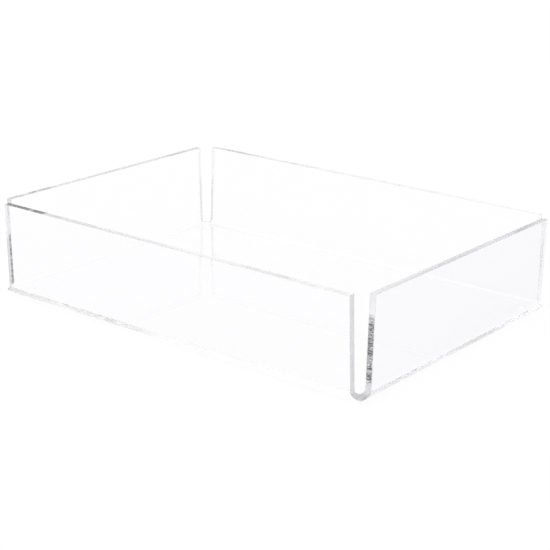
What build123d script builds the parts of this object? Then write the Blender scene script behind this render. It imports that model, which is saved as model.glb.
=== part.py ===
from build123d import *
import os

# Letter tray: one sheet of clear acrylic with its four walls bent up, on four self-adhesive bumper feet.
# Millimetres, +Z up, +X along the long side. The origin is under the middle of the tray, level with the
# bottom of the feet.

sheet_thickness = 4.7
base_length = 330.2  # over the short walls' outside faces, at the base
base_width = 228.6  # over the long walls' outside faces, at the base
wall_height = 69.85  # from the underside of the base to the rim
wall_lean = 1.3  # degrees that each wall leans outwards
bend_inner_radius = 1.0

# Each corner is open, as a slot that ends in a round floor in the base's own corner.
slot_setback_long = 8.4  # from the short wall's outside face to the end of the long wall, at the base
slot_setback_short = 10.2  # from the long wall's outside face to the end of the short wall, at the base
slot_flare_long = 1.8  # how much wider the slot is at the rim, seen along the corner's diagonal
slot_flare_short = 1.2
slot_floor = 1.9  # lowest point of the slot above the underside of the base
slot_floor_radius = 6.0

bumper_diameter = 8.0
bumper_height = 2.0
bumper_contact_diameter = 3.6  # the flat that rests on the desk
bumper_rim_height = 0.4  # the straight rim beside the adhesive face
bumper_inset = 16.0  # from the base's outside faces to the middle of a bumper

bend_outer_radius = bend_inner_radius + sheet_thickness


def outer_block():
    """The tray's outer envelope as a solid block, every edge but the rim rounded like the outside of a bend."""
    block = extrude(Rectangle(base_length, base_width), wall_height, taper=-wall_lean)
    rim = block.edges().group_by(Axis.Z)[-1]
    return fillet(block.edges() - rim, bend_outer_radius)


def corner_slot():
    """A cutter with a round floor that runs diagonally through the corner at +X, -Y."""
    slope = 2**0.5
    above_rim = wall_height + 1.0
    long_side = slot_setback_long / slope
    short_side = slot_setback_short / slope
    outline = Polygon(
        (-short_side, slot_floor),
        (long_side, slot_floor),
        (long_side + slot_flare_long, above_rim),
        (-short_side - slot_flare_short, above_rim),
        align=None,
    )
    outline = fillet(outline.vertices().group_by(Axis.Y)[0], slot_floor_radius)
    corner = Vector(base_length / 2, -base_width / 2, 0)
    across = Plane(origin=corner, x_dir=(-1, -1, 0), z_dir=(-1, 1, 0))
    return extrude(across * outline, slot_setback_short, both=True)


def tray_sheet():
    """The bent sheet: the block's outside skin, cut open at the corners, then thickened inwards."""
    block = outer_block()
    open_top = block.faces().sort_by(Axis.Z)[-1]
    slots = corner_slot()
    slots += mirror(slots, about=Plane.YZ)
    slots += mirror(slots, about=Plane.XZ)
    skin = Shell(block.faces() - [open_top]) - slots
    sheet = Solid.thicken(skin, -sheet_thickness).fix()
    return Pos(0, 0, bumper_height) * sheet


def bumper():
    """A clear domed bumper foot with its adhesive face up, standing on the desk plane."""
    rim_radius = bumper_diameter / 2
    contact_radius = bumper_contact_diameter / 2
    rim_bottom = bumper_height - bumper_rim_height
    base = Line((0, 0), (contact_radius, 0))
    dome_width = rim_radius - contact_radius
    dome = EllipticalCenterArc((contact_radius, rim_bottom), dome_width, rim_bottom, 270, arc_size=90)
    rim = Line((rim_radius, rim_bottom), (rim_radius, bumper_height))
    top = Line((rim_radius, bumper_height), (0, bumper_height))
    middle = Line((0, bumper_height), (0, 0))
    profile = Plane.XZ * make_face([base, dome, rim, top, middle])
    return revolve(profile, Axis.Z)


def main():
    os.makedirs("parts", exist_ok=True)
    export_step(tray_sheet(), "parts/tray_sheet.step")
    foot_x = base_length / 2 - bumper_inset
    foot_y = base_width / 2 - bumper_inset
    for end, y in (("front", -foot_y), ("back", foot_y)):
        for side, x in (("left", -foot_x), ("right", foot_x)):
            export_step(Pos(x, y, 0) * bumper(), f"parts/bumper_{end}_{side}.step")


main()
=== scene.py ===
import math

import bpy
from mathutils import Matrix, Vector


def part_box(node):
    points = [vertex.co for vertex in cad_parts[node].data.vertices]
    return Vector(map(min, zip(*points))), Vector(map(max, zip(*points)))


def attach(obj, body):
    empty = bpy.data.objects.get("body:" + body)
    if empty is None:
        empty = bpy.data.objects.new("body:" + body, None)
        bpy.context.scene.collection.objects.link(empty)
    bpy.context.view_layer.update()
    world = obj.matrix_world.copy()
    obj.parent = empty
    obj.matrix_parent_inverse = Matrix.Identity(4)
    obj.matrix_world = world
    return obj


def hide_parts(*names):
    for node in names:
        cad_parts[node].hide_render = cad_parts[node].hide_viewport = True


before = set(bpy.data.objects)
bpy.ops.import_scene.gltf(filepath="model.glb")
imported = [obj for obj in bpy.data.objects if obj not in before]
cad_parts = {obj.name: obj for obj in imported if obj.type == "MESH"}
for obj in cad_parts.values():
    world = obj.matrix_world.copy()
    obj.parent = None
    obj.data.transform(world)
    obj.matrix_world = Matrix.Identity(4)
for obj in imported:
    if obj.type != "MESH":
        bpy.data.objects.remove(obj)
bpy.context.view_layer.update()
bpy.ops.object.select_all(action="DESELECT")
print("frame loaded", len(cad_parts), "CAD nodes")

hair = 1e-5  # metres; nearer than this counts as the same place
weld = 2e-6  # points nearer than this are merged


def workOn(obj):
    # the only selected object, and the active one
    bpy.ops.object.select_all(action="DESELECT")
    obj.select_set(True)
    bpy.context.view_layer.objects.active = obj


def pick(obj, kind, wanted):
    # into edit mode with only some verts, edges or faces selected: wanted picks them by their middles
    workOn(obj)
    mesh = obj.data
    for group in (mesh.vertices, mesh.edges, mesh.polygons):
        group.foreach_set("select", [False] * len(group))
    bpy.context.tool_settings.mesh_select_mode = (kind == "VERT", kind == "EDGE", kind == "FACE")
    if kind == "VERT":
        for vert in mesh.vertices:
            vert.select = wanted(vert.co)
    if kind == "EDGE":
        for edge in mesh.edges:
            first, last = (mesh.vertices[i].co for i in edge.vertices)
            edge.select = wanted((first + last) / 2)
    if kind == "FACE":
        for face in mesh.polygons:
            face.select = wanted(face.center)
    bpy.ops.object.mode_set(mode="EDIT")


def done():
    bpy.ops.object.mode_set(mode="OBJECT")


def applyModifier(obj, kind, **settings):
    workOn(obj)
    modifier = obj.modifiers.new(kind.lower(), kind)
    for name, value in settings.items():
        setattr(modifier, name, value)
    bpy.ops.object.modifier_apply(modifier=modifier.name)


sheetSizes = {
    "length": 0.3302,  # over the short walls, at the base
    "width": 0.2286,  # over the long walls, at the base
    "height": 0.06985,  # underside of the base to the rim
    "thickness": 0.0047,
    "leanDegrees": 1.3,  # each wall leans out this much
    "bendRadius": 0.0057,  # outside of the bend
    "slotLong": 0.0084,  # short wall's outside face to the end of a long wall
    "slotShort": 0.0102,  # long wall's outside face to the end of a short wall
    "slotFlareLong": 0.0018,  # how much wider it is at its top
    "slotFlareShort": 0.0012,
    "slotPastRim": 0.001,  # the flare is measured this far above the rim
    "slotFloor": 0.0019,  # above the underside
    "slotFloorRadius": 0.006,
    "slotStepDegrees": 7.5,  # faces round a slot's floor
    "halvings": 39,  # steps in finding where the floor leaves a flap
    "cornerRows": 8,  # faces out from the base's corner to the slot
    "arris": 0.00025,  # how far the sawn edges are broken
    "arrisFaces": 2,  # across the broken edge
    "sharpDegrees": 50,  # edges that turn more than this are broken
}

rim, routed, sawn, arris = 1, 2, 3, 4  # the sheet's material slots; the clear faces have slot 0


def bendLength(s):
    return s["bendRadius"] * math.radians(90 - s["leanDegrees"])


def bendAt(s, r, depth=0.0):
    # a flap's section, by the distance r past the flat of the base and the depth below the outside face
    radius = s["bendRadius"]
    turn = math.radians(90 - s["leanDegrees"])
    angle = min(r / radius, turn)
    straight = max(0.0, r - radius * turn)
    outward = (radius - depth) * math.sin(angle) + straight * math.cos(turn)
    height = radius - (radius - depth) * math.cos(angle) + straight * math.sin(turn)
    return outward, height


def rowAt(s, height):
    # the distance r at which the outside face gets to this height
    radius = s["bendRadius"]
    turn = math.radians(90 - s["leanDegrees"])
    bendTop = radius * (1 - math.cos(turn))
    if height < bendTop:
        return radius * math.acos(1 - height / radius)
    return radius * turn + (height - bendTop) / math.sin(turn)


def onBlank(s, across, height):
    # a point of the slot's outline, as it lies on the flat blank past the base's corner
    r = rowAt(s, height)
    outward = bendAt(s, r)[0]
    shift = across * math.sqrt(2)
    if shift > outward:
        return Vector((outward - shift, r, 0))
    if shift < -outward:
        return Vector((r, outward + shift, 0))
    x = (math.sqrt(2 * outward ** 2 - shift ** 2) - shift) / 2
    return Vector((x, x + shift, 0)) * (r / outward)


def slotOutline(s):
    # the slot is sawn along the corner's diagonal. For the long wall's side and then the short wall's, this
    # gives the line down the flap's end from the rim to the base's corner, and on to the middle of the floor
    rise = s["height"] + s["slotPastRim"] - s["slotFloor"]
    radius = s["slotFloorRadius"]
    straightEnd = math.pi / 2 - math.atan(s["slotFlareLong"] / rise)
    bendTop = bendAt(s, bendLength(s))[1]
    bendEnd = math.acos(1 - (bendTop - s["slotFloor"]) / radius)
    outlines = []
    for side, setback, flare in ((1, s["slotLong"], s["slotFlareLong"]),
                                 (-1, s["slotShort"], s["slotFlareShort"])):
        foot = setback / math.sqrt(2)
        slant = math.atan(flare / rise)
        centre = foot + radius * math.tan(slant) - radius / math.cos(slant)

        def onFloor(angle):
            up = radius * (1 - math.cos(angle))
            return onBlank(s, side * (centre + radius * math.sin(angle)), s["slotFloor"] + up)

        def arc(start, end):
            steps = math.ceil((start - end) / math.radians(s["slotStepDegrees"]))
            return [onFloor(start + (end - start) * i / steps) for i in range(steps)]

        cornerEnd = bendEnd  # where the floor leaves the flap, found by halving the step
        for halving in range(1, s["halvings"] + 1):
            onFlap = min(onFloor(cornerEnd).xy) < 0
            cornerEnd += (-1 if onFlap else 1) * bendEnd / 2 ** halving
        rimAcross = foot + (s["height"] - s["slotFloor"]) * math.tan(slant)
        flapLine = [onBlank(s, side * rimAcross, s["height"])]
        flapLine += arc(straightEnd, bendEnd) + arc(bendEnd, cornerEnd) + [onFloor(cornerEnd)]
        outlines.append((flapLine, arc(cornerEnd, 0)[1:] + [onFloor(0)]))
    return outlines


def makeBlank(s):
    # a quarter of the flat sheet as it is sawn out, with the middle of its base at the origin
    turn = math.radians(90 - s["leanDegrees"])
    setIn = s["bendRadius"] * math.tan(turn / 2)  # from where the walls' planes meet to the flat of the base
    corner = Vector((s["length"] / 2 - setIn, s["width"] / 2 - setIn, 0))
    bpy.ops.mesh.primitive_plane_add(size=1, location=(0.5, 0.5, 0))  # from the origin out to (1, 1)
    bpy.ops.transform.resize(value=corner, center_override=(0, 0, 0))
    bpy.ops.object.transform_apply(location=True, rotation=True, scale=True)
    blank = bpy.context.object
    blank.name = blank.data.name = "clearSheet"

    # each flap is extruded row by row from an edge of the base, and its end follows the slot
    (longLine, longFloor), (shortLine, shortFloor) = slotOutline(s)
    for along, line in ((0, longLine), (1, shortLine)):
        out = 1 - along
        ends = [line[-1] * (i / s["cornerRows"]) for i in range(1, s["cornerRows"])] + line[::-1]
        pick(blank, "EDGE", lambda c: abs(c[out] - corner[out]) < hair and c[along] < corner[along] - hair)
        gone = 0.0
        for end in ends:
            step = [0, 0, 0]
            step[out] = end[out] - gone
            bpy.ops.mesh.extrude_edges_move(TRANSFORM_OT_translate={"value": step})
            gone = end[out]
        done()
        for vert in blank.data.vertices:
            r = vert.co[out] - corner[out]
            if r > hair and vert.co[along] > hair:
                vert.co[along] += min(ends, key=lambda end: abs(end[out] - r))[along]

    # the end of the long flap beside the base's corner is spun round it, and its spokes are cut to length
    reach = longLine[-1].y
    pick(blank, "EDGE", lambda c: abs(c.x - corner.x) < hair and corner.y < c.y < corner.y + reach)
    flapVerts = len(blank.data.vertices)
    spokes = longFloor + shortFloor[::-1] + [shortLine[-1]]
    bpy.ops.mesh.spin(steps=len(spokes), angle=math.pi / 2, center=corner, axis=(0, 0, 1))
    done()
    for i, vert in enumerate(blank.data.vertices[flapVerts:]):
        spoke = spokes[i // (s["cornerRows"] + 1)]
        vert.co = corner + spoke * ((vert.co - corner).length / reach)
    pick(blank, "VERT", lambda c: True)
    bpy.ops.mesh.remove_doubles(threshold=weld)
    done()
    return blank, corner


def foldUp(blank, corner, s, lowest):
    # the flaps go up round their bends, and what is left of the corner becomes part of a ball
    for vert in blank.data.vertices:
        pastX = max(0.0, abs(vert.co.x) - corner.x)
        pastY = max(0.0, abs(vert.co.y) - corner.y)
        r = math.hypot(pastX, pastY)
        outward, height = bendAt(s, r, depth=vert.co.z)
        if r > 0:
            vert.co.x = math.copysign(abs(vert.co.x) + pastX * (outward / r - 1), vert.co.x)
            vert.co.y = math.copysign(abs(vert.co.y) + pastY * (outward / r - 1), vert.co.y)
        vert.co.z = lowest + height


def makeSheet(s):
    sheet, corner = makeBlank(s)
    applyModifier(sheet, "MIRROR", use_axis=(True, True, False), merge_threshold=weld)
    pick(sheet, "FACE", lambda c: True)
    bpy.ops.mesh.normals_make_consistent(inside=False)
    done()
    if sheet.data.polygons[0].normal.z > 0:  # the underside is the outside face
        sheet.data.flip_normals()
    for material in (clearAcrylic(acrylicFinish), scrapedRim(rimFinish, acrylicFinish),
                     routedEnd(routedFinish, acrylicFinish), sawnEnd(sawnFinish, acrylicFinish),
                     scrapedArris(arrisFinish, acrylicFinish)):
        sheet.data.materials.append(material)
    applyModifier(sheet, "SOLIDIFY", thickness=s["thickness"], offset=-1, use_rim=True,
                  material_offset_rim=rim)
    # of the cut faces, the rims and the back right corner's slot keep the rim's finish
    for face in sheet.data.polygons:
        pastX, pastY = abs(face.center.x) - corner.x, abs(face.center.y) - corner.y
        onRim = max(pastX, pastY) > rowAt(s, s["height"]) - hair
        atRight = face.center.x > 0
        atBackRight = atRight and face.center.y > 0
        if face.material_index == rim and not onRim and not atBackRight:
            face.material_index = routed if pastY > bendLength(s) and atRight else sawn
    applyModifier(sheet, "BEVEL", limit_method="ANGLE", angle_limit=math.radians(s["sharpDegrees"]),
                  width=s["arris"], segments=s["arrisFaces"], use_clamp_overlap=False, loop_slide=False,
                  material=arris)
    foldUp(sheet, corner, s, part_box("tray_sheet")[0].z)
    workOn(sheet)
    bpy.ops.object.shade_smooth()
    applyModifier(sheet, "WEIGHTED_NORMAL", mode="FACE_AREA", weight=100)
    return sheet


acrylicFinish = {
    "tint": (0.993, 0.990, 0.997, 1),
    "paintedShade": (0.895, 0.895, 0.915, 1),  # painted shade: a grey cast on the right wall's outside, most of all low down at the back
    "paintedShadeAcross": (0.163, 0.1645),  # it comes in here, between the wall's two faces
    "paintedShadeHeights": (0.007, 0.012),  # and here, above the bend
    "paintedShadeRise": 1.5,  # how much faster it fades upwards than towards the front
    "paintedShadeSpread": (-0.2, 0.1),  # over which it goes from its weakest to full
    "paintedShadeWeakest": 0.5,
    "ior": 1.49,
    "depthTint": (0.953, 0.950, 0.962, 1),  # colour that light takes on along the sheet
    "depthDensity": 3,
    "polish": 0.004,  # roughness of the clean faces
    "smear": 0.01,  # added by the faint smears
    "smearSize": 0.06,
    "smearEdges": (0.5, 0.75),
    "rippleDepth": 0.00001,  # slight waviness of cast sheet
    "rippleSize": 0.09,
}

rimFinish = {
    "tint": (0.93, 0.93, 0.94, 1),
    "dullAndShade": (0.50, 0.50, 0.51, 1),  # where it is less well scraped, and the painted shade on the short walls' rims
    "patchSize": 0.03,
    "patchEdges": (0.5, 0.7),
    "shortFrom": (0.158, 0.161),  # how far out the short walls' rims are, which all get painted shade
    "shortShade": (0.25, 0.8),  # how much so, at the front and at the back
    "roughness": (0.10, 0.22),
    "chatterSize": 0.0012,  # the scraper's small ripples
    "chatterDepth": 0.00003,
    "rimShade": (0.03, 0.03, 0.033, 1),  # painted shade: near-black patches in the rim, at the front left corner
    "rimShadeCentre": (-0.166, -0.114, 0.072),
    "rimShadeReach": (0.051, 0.053),  # they stop between these distances from it
    "rimShadeSize": 0.0075,
    "rimShadeEdges": (0.38, 0.5),
    "rimShadeWeakest": 0.2,
    "rimShadeOnLeft": 0.75,  # how strong they are on the left wall's rim, next to the front wall's
    "frontWall": (-0.108, -0.106),  # just behind the front wall's rim
}

routedFinish = {  # the right end of the front wall
    # painted shade: the end's grey tint
    "tint": (0.82, 0.82, 0.83, 1),
    "streak": (0.94, 0.94, 0.95, 1),
    "streakWidth": 0.0009,
    "streakLength": 0.05,
    "streakEdges": (0.5, 0.7),
    "roughness": (0.40, 0.52),
    "lineDepth": 0.00002,
}

sawnFinish = {  # the left corners' slots, and the front right one's floor and right wall's end
    # painted shade: the grey tint that darkens every sawn face, the left corners' slots with them
    "tint": (0.62, 0.62, 0.63, 1),
    "cleanTint": (1, 1, 1, 1),  # beside the rim, where the saw had settled
    "markTint": (0.02, 0.02, 0.022, 1),
    "bandFoot": (0.0125, 0.0165),  # the saw marks come in between these heights
    "bandTop": (0.0545, 0.0595),  # and go out between these
    "bandRagged": 0.003,  # how uneven both are
    "leftDrop": 0.011,  # how much lower the marks are on the left
    "markSize": (0.0016, 0.0016, 0.0009),
    "toothSize": (0.02, 0.02, 0.0013),
    "toothShare": 0.35,
    "markEdges": (0.36, 0.54),
    "markDepth": 0.00012,
    "roughness": 0.45,
    "cleanRoughness": 0.28,
}

arrisFinish = {
    "tint": (0.90, 0.90, 0.91, 1),
    "worn": (0.65, 0.65, 0.66, 1),
    "patchSize": 0.006,
    "patchEdges": (0.45, 0.65),
    "roughness": (0.22, 0.38),
}

middling = (0.35, 0.65)  # most of a noise lies between these
wide = (0.3, 0.7)  # and nearly all of it between these
acrossTray = (-0.1, 0.1)  # from the front or left to the back or right, short of the corners


def startMaterial(name):
    material = bpy.data.materials.new(name)
    material.use_nodes = True
    tree = material.node_tree
    shader = tree.nodes["Principled BSDF"]
    place = tree.nodes.new("ShaderNodeTexCoord")
    return material, tree, shader, place.outputs["Object"]


def axesOf(tree, place):
    # its X, Y and Z, by name
    split = tree.nodes.new("ShaderNodeSeparateXYZ")
    tree.links.new(place, split.inputs["Vector"])
    return split.outputs


def noise(tree, place, size, detail):
    # patches that are about this far apart, in metres
    sizes = size if isinstance(size, tuple) else (size, size, size)
    mapping = tree.nodes.new("ShaderNodeMapping")
    mapping.inputs["Scale"].default_value = [1 / axis for axis in sizes]
    tree.links.new(place, mapping.inputs["Vector"])
    texture = tree.nodes.new("ShaderNodeTexNoise")
    texture.inputs["Scale"].default_value = 1
    texture.inputs["Detail"].default_value = detail
    tree.links.new(mapping.outputs["Vector"], texture.inputs["Vector"])
    return texture.outputs["Fac"]


def remap(tree, value, low, high, toLow, toHigh):
    node = tree.nodes.new("ShaderNodeMapRange")
    for name, number in (("From Min", low), ("From Max", high), ("To Min", toLow), ("To Max", toHigh)):
        node.inputs[name].default_value = number
    tree.links.new(value, node.inputs["Value"])
    return node.outputs["Result"]


def combine(tree, operation, first, second):
    node = tree.nodes.new("ShaderNodeMath")
    node.operation = operation
    for socket, value in zip(node.inputs, (first, second)):
        if isinstance(value, (int, float)):
            socket.default_value = value
        else:
            tree.links.new(value, socket)
    return node.outputs["Value"]


def tintBy(tree, amount, first, second):
    # from the first colour to the second as the amount goes from 0 to 1; either may be another mix
    factorSocket, firstSocket, secondSocket, resultSocket = 0, 6, 7, 2  # a Mix node's, when it mixes colours
    node = tree.nodes.new("ShaderNodeMix")
    node.data_type = "RGBA"
    node.clamp_factor = True
    tree.links.new(amount, node.inputs[factorSocket])
    for socket, value in ((firstSocket, first), (secondSocket, second)):
        if isinstance(value, tuple):
            node.inputs[socket].default_value = value
        else:
            tree.links.new(value, node.inputs[socket])
    return node.outputs[resultSocket]


def outsideWearAndShade(tree, shader, tint):
    # wear and painted shade on the cut faces show from outside, and let the light that comes along the sheet
    # out unchanged
    face = tree.nodes.new("ShaderNodeNewGeometry")
    white = (1, 1, 1, 1)
    tree.links.new(tintBy(tree, face.outputs["Backfacing"], tint, white), shader.inputs["Base Color"])


def glassLike(name, acrylic):
    # every face of the sheet bounds the same clear body, which takes a little light away along its length
    material, tree, shader, place = startMaterial(name)
    shader.inputs["IOR"].default_value = acrylic["ior"]
    shader.inputs["Transmission Weight"].default_value = 1
    body = tree.nodes.new("ShaderNodeVolumeAbsorption")
    body.inputs["Color"].default_value = acrylic["depthTint"]
    body.inputs["Density"].default_value = acrylic["depthDensity"]
    tree.links.new(body.outputs["Volume"], tree.nodes["Material Output"].inputs["Volume"])
    return material, tree, shader, place


def bumpBy(tree, shader, height, depth):
    bump = tree.nodes.new("ShaderNodeBump")
    bump.inputs["Strength"].default_value = 1
    bump.inputs["Distance"].default_value = depth
    tree.links.new(height, bump.inputs["Height"])
    tree.links.new(bump.outputs["Normal"], shader.inputs["Normal"])


def clearAcrylic(f):
    material, tree, shader, place = glassLike("clearAcrylic", f)
    at = axesOf(tree, place)
    # painted shade: a grey cast on the right wall's outside, darkest low down at the back
    lowAndBack = combine(tree, "SUBTRACT", at["Y"], combine(tree, "MULTIPLY", at["Z"], f["paintedShadeRise"]))
    paintedShade = remap(tree, lowAndBack, *f["paintedShadeSpread"], f["paintedShadeWeakest"], 1)
    paintedShade = combine(tree, "MULTIPLY", paintedShade, remap(tree, at["X"], *f["paintedShadeAcross"], 0, 1))
    paintedShade = combine(tree, "MULTIPLY", paintedShade, remap(tree, at["Z"], *f["paintedShadeHeights"], 0, 1))
    tree.links.new(tintBy(tree, paintedShade, f["tint"], f["paintedShade"]), shader.inputs["Base Color"])
    smears = noise(tree, place, f["smearSize"], 3)
    roughness = remap(tree, smears, *f["smearEdges"], f["polish"], f["polish"] + f["smear"])
    tree.links.new(roughness, shader.inputs["Roughness"])
    bumpBy(tree, shader, noise(tree, place, f["rippleSize"], 0), f["rippleDepth"])
    return material


def scrapedRim(f, acrylic):
    material, tree, shader, place = glassLike("scrapedRim", acrylic)
    at = axesOf(tree, place)
    patches = noise(tree, place, f["patchSize"], 3)
    # painted shade on the short walls' rims, stronger towards the back
    onShort = remap(tree, combine(tree, "ABSOLUTE", at["X"], 0), *f["shortFrom"], 0, 1)
    onShort = combine(tree, "MULTIPLY", onShort, remap(tree, at["Y"], *acrossTray, *f["shortShade"]))
    dullnessAndShade = combine(tree, "MAXIMUM", remap(tree, patches, *f["patchEdges"], 0, 1), onShort)
    dulledAndShaded = tintBy(tree, dullnessAndShade, f["tint"], f["dullAndShade"])
    # painted shade: near-black patches in the rim by the front left corner
    fromCorner = tree.nodes.new("ShaderNodeVectorMath")
    fromCorner.operation = "DISTANCE"
    tree.links.new(place, fromCorner.inputs[0])
    fromCorner.inputs[1].default_value = f["rimShadeCentre"]
    near = remap(tree, fromCorner.outputs["Value"], *f["rimShadeReach"], 1, 0)
    near = combine(tree, "MULTIPLY", near, remap(tree, at["Y"], *f["frontWall"], 1, f["rimShadeOnLeft"]))
    rimShadePatches = remap(tree, noise(tree, place, f["rimShadeSize"], 2), *f["rimShadeEdges"], f["rimShadeWeakest"], 1)
    outsideWearAndShade(tree, shader, tintBy(tree, combine(tree, "MULTIPLY", near, rimShadePatches), dulledAndShaded, f["rimShade"]))
    tree.links.new(remap(tree, patches, *middling, *f["roughness"]), shader.inputs["Roughness"])
    bumpBy(tree, shader, noise(tree, place, f["chatterSize"], 1), f["chatterDepth"])
    return material


def routedEnd(f, acrylic):
    material, tree, shader, place = glassLike("routedEnd", acrylic)
    streaks = noise(tree, place, (f["streakWidth"], f["streakWidth"], f["streakLength"]), 2)
    amount = remap(tree, streaks, *f["streakEdges"], 0, 1)
    # painted shade: the end's grey tint, with lighter streaks
    outsideWearAndShade(tree, shader, tintBy(tree, amount, f["tint"], f["streak"]))
    tree.links.new(remap(tree, streaks, *middling, *f["roughness"]), shader.inputs["Roughness"])
    bumpBy(tree, shader, streaks, f["lineDepth"])
    return material


def sawnEnd(f, acrylic):
    material, tree, shader, place = glassLike("sawnEnd", acrylic)
    at = axesOf(tree, place)
    marks = noise(tree, place, f["markSize"], 2)
    teeth = noise(tree, place, f["toothSize"], 1)
    pattern = combine(tree, "ADD", combine(tree, "MULTIPLY", marks, 1 - f["toothShare"]),
                      combine(tree, "MULTIPLY", teeth, f["toothShare"]))
    ragged = remap(tree, marks, *wide, -f["bandRagged"], f["bandRagged"])
    lift = remap(tree, at["X"], *acrossTray, f["leftDrop"], 0)
    height = combine(tree, "ADD", combine(tree, "ADD", at["Z"], ragged), lift)
    above = remap(tree, height, *f["bandTop"], 0, 1)
    inBand = combine(tree, "SUBTRACT", remap(tree, height, *f["bandFoot"], 0, 1), above)
    mark = combine(tree, "MULTIPLY", remap(tree, pattern, *f["markEdges"], 0, 1), inBand)
    # painted shade: the sawn faces' grey tint, white beside the rim
    plain = tintBy(tree, above, f["tint"], f["cleanTint"])
    outsideWearAndShade(tree, shader, tintBy(tree, mark, plain, f["markTint"]))
    tree.links.new(remap(tree, above, 0, 1, f["roughness"], f["cleanRoughness"]), shader.inputs["Roughness"])
    bumpBy(tree, shader, combine(tree, "MULTIPLY", pattern, inBand), f["markDepth"])
    return material


def scrapedArris(f, acrylic):
    material, tree, shader, place = glassLike("scrapedArris", acrylic)
    patches = noise(tree, place, f["patchSize"], 2)
    amount = remap(tree, patches, *f["patchEdges"], 0, 1)
    outsideWearAndShade(tree, shader, tintBy(tree, amount, f["tint"], f["worn"]))
    tree.links.new(remap(tree, patches, *middling, *f["roughness"]), shader.inputs["Roughness"])
    return material


sheetPiece = makeSheet(sheetSizes)
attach(sheetPiece, "root")
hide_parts("tray_sheet")
print("sheet", len(sheetPiece.data.polygons), "faces")


bumperSizes = {
    "diameter": 0.008,
    "rim": 0.0004,  # straight part beside the sheet
    "contactDiameter": 0.0036,
    "sides": 48,
    "domeRows": 8,
    "topInset": 0.0003,  # a ring of faces inside the flats' edges keeps their shading clean
    "contactInset": 0.0002,
    "glueGap": 0.00003,  # between it and the sheet
    "smoothDegrees": 40,
}


def makeBumper(s, node):
    low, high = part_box(node)
    centre = (low + high) / 2
    radius = s["diameter"] / 2
    contact = s["contactDiameter"] / 2
    top = high.z - s["glueGap"]
    height = top - low.z
    bpy.ops.mesh.primitive_circle_add(vertices=s["sides"], radius=radius, fill_type="NGON",
                                      location=(centre.x, centre.y, top))
    bumper = bpy.context.object
    bumper.name = bumper.data.name = node.replace("bumper", "clearBumper")
    bpy.ops.object.transform_apply(location=True, rotation=True, scale=True)
    bpy.ops.object.mode_set(mode="EDIT")
    bpy.ops.mesh.select_all(action="SELECT")
    bpy.ops.mesh.inset(thickness=s["topInset"])
    bpy.ops.mesh.select_all(action="INVERT")
    done()
    # down the straight rim and then round the dome, a row at a time
    turns = [math.radians(90 * (i + 1) / s["domeRows"]) for i in range(s["domeRows"])]
    rows = [(s["rim"], radius)]
    rows += [(s["rim"] + (height - s["rim"]) * math.sin(turn), contact + (radius - contact) * math.cos(turn))
             for turn in turns]
    pick(bumper, "EDGE", lambda c: (c.xy - centre.xy).length > radius - s["topInset"] / 2)
    lastDrop, lastWidth = 0.0, radius
    for drop, width in rows:
        bpy.ops.mesh.extrude_edges_move(TRANSFORM_OT_translate={"value": (0, 0, lastDrop - drop)})
        bpy.ops.transform.resize(value=(width / lastWidth, width / lastWidth, 1), center_override=centre)
        lastDrop, lastWidth = drop, width
    bpy.ops.mesh.edge_face_add()
    bpy.ops.mesh.inset(thickness=s["contactInset"])
    bpy.ops.mesh.select_all(action="SELECT")
    bpy.ops.mesh.normals_make_consistent(inside=False)
    done()
    bpy.ops.object.shade_smooth_by_angle(angle=math.radians(s["smoothDegrees"]))
    return bumper


bumperFinish = {
    "tint": (1, 1, 1, 1),
    "ior": 1.35,
    "roughness": (0.07, 0.13),
    "grain": 0.0002,
}


def clearRubber(f):
    material, tree, shader, place = startMaterial("clearRubber")
    shader.inputs["Base Color"].default_value = f["tint"]
    shader.inputs["IOR"].default_value = f["ior"]
    shader.inputs["Transmission Weight"].default_value = 1
    grain = noise(tree, place, f["grain"], 2)
    tree.links.new(remap(tree, grain, *wide, *f["roughness"]), shader.inputs["Roughness"])
    return material


rubber = clearRubber(bumperFinish)
for node in sorted(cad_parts):
    if node.startswith("bumper"):
        bumper = makeBumper(bumperSizes, node)
        bumper.data.materials.append(rubber)
        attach(bumper, "root")
        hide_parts(node)
print("bumpers made")


studio = {
    "floorSize": 12.0,
    "floorSquares": 8,
    "floorGlow": 0.965,  # the floor is a white table, lit from within
    "floorPaper": 0.035,  # how much of the light on it is reflected
    "skyHorizon": 1.03,
    "skyAbove": 1.05,
    "skyTurns": (28, 62),  # degrees above the horizon between which it brightens
    "bounces": 200,  # light caught inside the sheet turns back many times before it leaves by an edge
}


def makeFloor(s):
    squares = s["floorSquares"]
    bpy.ops.mesh.primitive_grid_add(x_subdivisions=squares, y_subdivisions=squares, size=s["floorSize"],
                                    location=(0, 0, 0))
    floor = bpy.context.object
    floor.name = floor.data.name = "studioFloor"
    material = bpy.data.materials.new("paleTable")
    material.use_nodes = True
    tree = material.node_tree
    shader = tree.nodes["Principled BSDF"]
    paper = s["floorPaper"]
    shader.inputs["Base Color"].default_value = (paper, paper, paper, 1)
    shader.inputs["Roughness"].default_value = 1
    shader.inputs["Specular IOR Level"].default_value = 0
    shader.inputs["Emission Color"].default_value = (1, 1, 1, 1)
    shader.inputs["Emission Strength"].default_value = s["floorGlow"]
    floor.data.materials.append(material)


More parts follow.
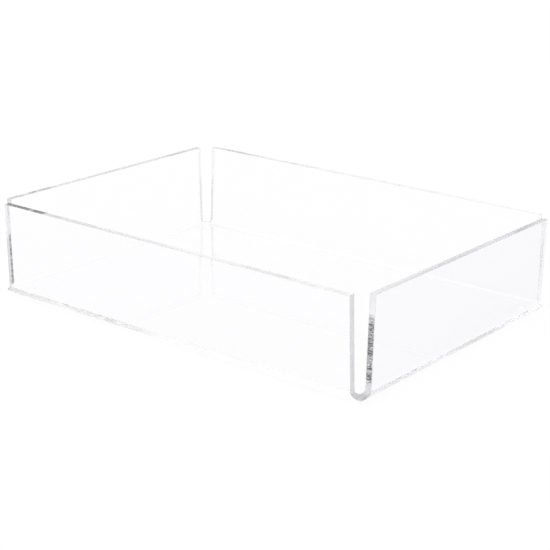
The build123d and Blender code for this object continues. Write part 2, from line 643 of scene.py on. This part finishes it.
def makeSky(s):
    world = bpy.data.worlds.new("studioSky")
    bpy.context.scene.world = world
    world.use_nodes = True
    tree = world.node_tree
    background = tree.nodes["Background"]
    place = tree.nodes.new("ShaderNodeTexCoord")
    up = axesOf(tree, place.outputs["Generated"])["Z"]
    low, high = (math.sin(math.radians(degrees)) for degrees in s["skyTurns"])
    tree.links.new(remap(tree, up, low, high, s["skyHorizon"], s["skyAbove"]), background.inputs["Strength"])
    background.inputs["Color"].default_value = (1, 1, 1, 1)


softbox = {"size": 1.4, "watts": 9.0, "location": (-0.9, -1.1, 1.7)}  # it points at the origin


def makeSoftbox(s):
    bpy.ops.object.light_add(type="AREA", location=s["location"])
    lamp = bpy.context.object
    lamp.name = lamp.data.name = "softbox"
    lamp.data.shape = "SQUARE"
    lamp.data.size = s["size"]
    lamp.data.energy = s["watts"]
    lamp.rotation_euler = (-Vector(s["location"])).to_track_quat("-Z", "Y").to_euler()


cameraPlace = {
    "location": (0.6442, -0.7869, 0.3644),
    "azimuth": 39.146,  # degrees round from the front
    "elevation": 18.64,
    "roll": 0.251,
    "lens": 96.02,
    "sensor": 36,
    "clip": (0.01, 100),
}


def makeCamera(s):
    data = bpy.data.cameras.new("studioCamera")
    data.lens = s["lens"]
    data.sensor_width = s["sensor"]
    data.clip_start, data.clip_end = s["clip"]
    camera = bpy.data.objects.new("studioCamera", data)
    bpy.context.collection.objects.link(camera)
    azimuth, elevation, roll = (math.radians(s[name]) for name in ("azimuth", "elevation", "roll"))
    outward = Vector((math.sin(azimuth), -math.cos(azimuth), 0))
    back = outward * math.cos(elevation) + Vector((0, 0, math.sin(elevation)))
    level = Vector((math.cos(azimuth), math.sin(azimuth), 0))
    upright = back.cross(level)
    right = level * math.cos(roll) + upright * math.sin(roll)
    up = upright * math.cos(roll) - level * math.sin(roll)
    camera.matrix_world = Matrix.Translation(s["location"]) @ Matrix((right, up, back)).transposed().to_4x4()
    bpy.context.scene.camera = camera


makeFloor(studio)
makeSky(studio)
makeSoftbox(softbox)
makeCamera(cameraPlace)
scene = bpy.context.scene
scene.view_settings.view_transform = "Standard"
for kind in ("max_bounces", "transmission_bounces", "glossy_bounces"):
    setattr(scene.cycles, kind, studio["bounces"])
print("studio ready")
